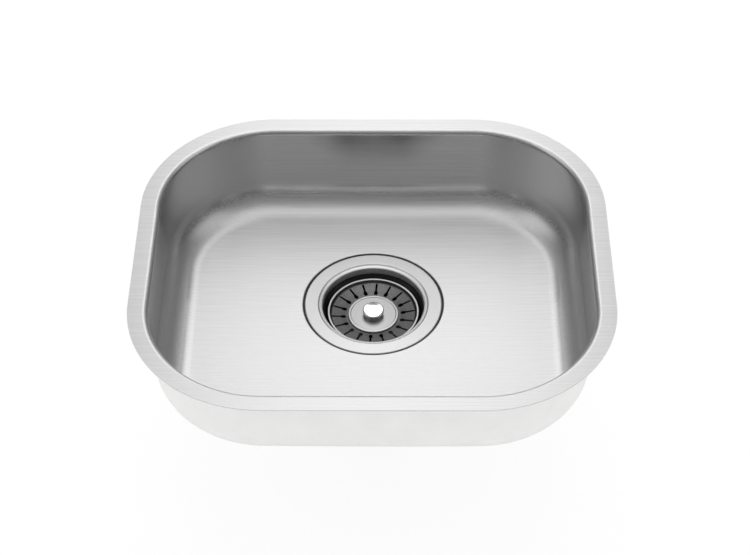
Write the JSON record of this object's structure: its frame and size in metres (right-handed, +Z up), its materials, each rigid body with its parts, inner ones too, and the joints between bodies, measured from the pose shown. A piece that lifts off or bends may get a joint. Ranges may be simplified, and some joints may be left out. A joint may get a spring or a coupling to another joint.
{
  "type": "undermount kitchen sink",
  "caption": "Compact undermount sink: a drawn brushed-steel bowl with a flat flange, and a lift-out basket strainer with a knob, stopper and tailpiece.",
  "frame": {"origin": "centre of the flange's top face, the face that meets the underside of the countertop", "axes": "+Z up out of the bowl, +X to the right along the longer side, +Y to the back, where the drain is set"},
  "size_m": [0.378, 0.326, 0.2158],
  "materials": {
    "bowl_steel": "stainless sheet, brushed left to right",
    "strainer_steel": "stainless sheet, satin polished in rings",
    "basket_steel": "stainless sheet, satin",
    "disc_steel": "stainless sheet, spun satin",
    "knob_steel": "turned and polished",
    "cup_steel": "plain pressed stainless",
    "spring_steel": "drawn stainless wire and bar",
    "tube_chrome": "plated tube",
    "seal_rubber": "black rubber, matt",
    "pad_rubber": "damping sheet, matt",
    "nut_plastic": "moulded, fine grain",
    "nylon": "natural nylon",
    "fibre": "pressed fibre"
  },
  "bodies": {
    "sink": {"sink_bowl": "bowl_steel", "floor_sound_pad": "pad_rubber", "wall_sound_pads": "pad_rubber", "strainer_body": "strainer_steel", "flange_seal": "seal_rubber", "clamp_gasket": "seal_rubber", "clamp_cup": "cup_steel", "friction_washer": "fibre", "lock_nut": "nut_plastic", "outlet_spud": "cup_steel", "tailpiece_washer": "nylon", "tailpiece": "tube_chrome", "coupling_nut": "nut_plastic", "outlet_crossbar": "cup_steel"},
    "guide": {"post_guide": "nylon"},
    "basket": {"strainer_basket": "basket_steel", "centre_disc": "disc_steel", "hub_sleeve": "cup_steel", "detent_ring": "spring_steel"},
    "plug": {"lift_knob": "knob_steel", "lift_stem": "spring_steel", "stopper_plate": "cup_steel", "stopper_disc": "seal_rubber", "stopper_washer": "cup_steel", "stem_nut": "spring_steel"}
  },
  "joints": [
    {"name": "basket_turn", "type": "hinge", "parent": "sink", "child": "guide", "pos_m": [0, 0.023, -0.08], "axis": [0, 0, 1], "continuous": true},
    {"name": "basket_lift", "type": "slide", "parent": "guide", "child": "basket", "axis": [0, 0, 1], "range_m": [0, 0.1]},
    {"name": "knob_pull", "type": "slide", "parent": "basket", "child": "plug", "axis": [0, 0, 1], "range_m": [0, 0.008]}
  ]
}
